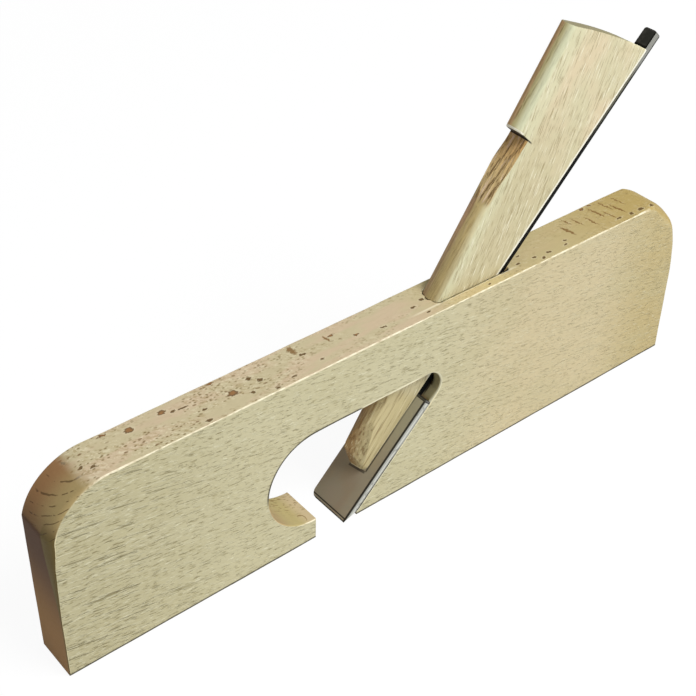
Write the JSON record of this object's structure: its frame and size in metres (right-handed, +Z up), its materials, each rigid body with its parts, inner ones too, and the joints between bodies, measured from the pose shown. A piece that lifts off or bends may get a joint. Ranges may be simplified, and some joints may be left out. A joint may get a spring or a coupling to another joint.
{
  "type": "rabbet plane",
  "caption": "Narrow wooden rabbet plane: a beech stock with an open throat, a full-width shouldered iron on a sloping bed, and a notched wedge that clamps it.",
  "frame": {"origin": "middle of the sole, below the middle of the overall box; the sole lies on Z = 0", "axes": "+X runs along the stock from the toe to the heel, +Y across the thickness, +Z up from the sole"},
  "size_m": [0.27, 0.0183, 0.1558],
  "materials": {
    "stock": "bare planed beech, dry, slightly worn arrises",
    "iron": "dark forged steel with a brown-grey face and a bright ground edge along the sides of the blade",
    "wedge": "bare planed beech, lighter than the stock, with a knife-cut notch"
  },
  "bodies": {
    "stock": {"stock": "stock"},
    "iron": {"iron": "iron"},
    "wedge": {"wedge": "wedge"}
  },
  "joints": [
    {"name": "iron_slide", "type": "slide", "parent": "stock", "child": "iron", "axis": [0.6947, 0, 0.7193], "range_m": [-0.134, 0.0035]},
    {"name": "wedge_slide", "type": "slide", "parent": "stock", "child": "wedge", "axis": [0.6947, 0, 0.7193], "range_m": [0, 0.085]}
  ]
}
